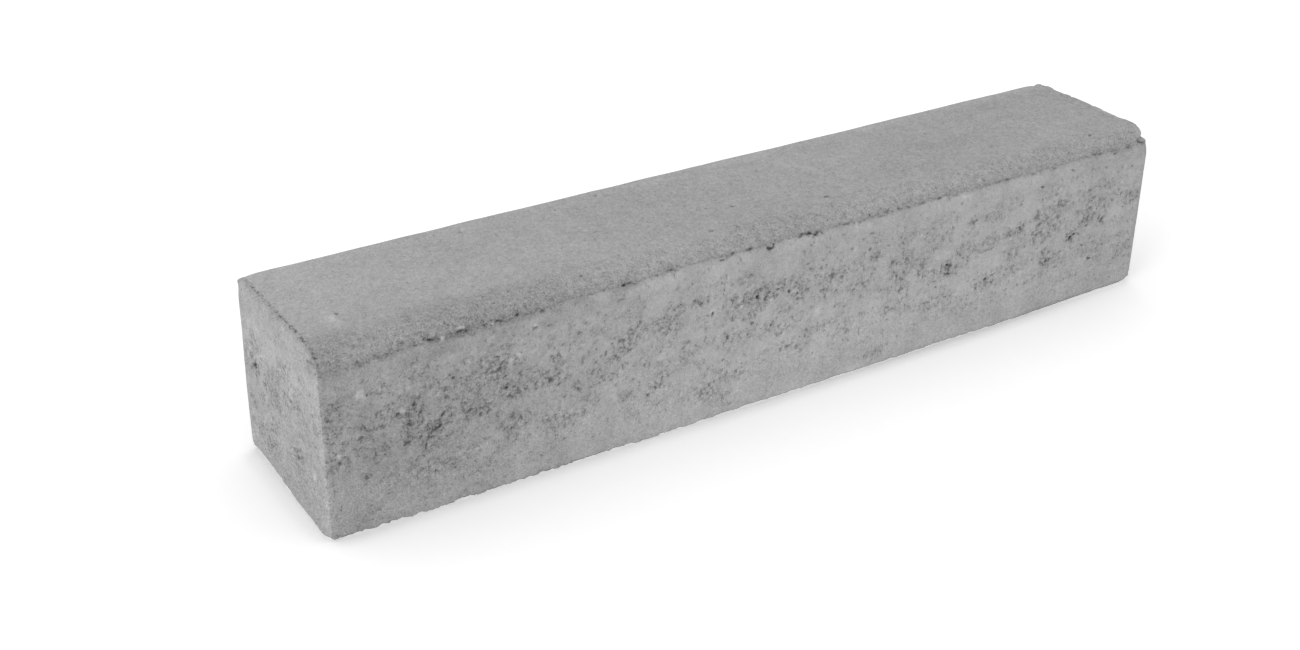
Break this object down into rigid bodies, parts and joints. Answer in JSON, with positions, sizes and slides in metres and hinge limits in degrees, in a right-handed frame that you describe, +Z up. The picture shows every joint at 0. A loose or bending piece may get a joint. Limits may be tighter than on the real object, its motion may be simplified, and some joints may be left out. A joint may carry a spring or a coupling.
{
  "type": "concrete kerb stone",
  "caption": "Low concrete kerb stone: a square pressed block with a quarter-round front nose, a fine parting ledge along it and rounded end arrises.",
  "frame": {"origin": "middle of the bed, the flat face that the stone stands on", "axes": "+X along the stone's length, +Z up from the bed to the top, -Y out of the front face, on the side of the rounded nose"},
  "size_m": [0.8, 0.15, 0.15],
  "materials": {
    "concrete": "matte"
  },
  "bodies": {
    "root": {"kerb_stone": "concrete"}
  },
  "joints": []
}
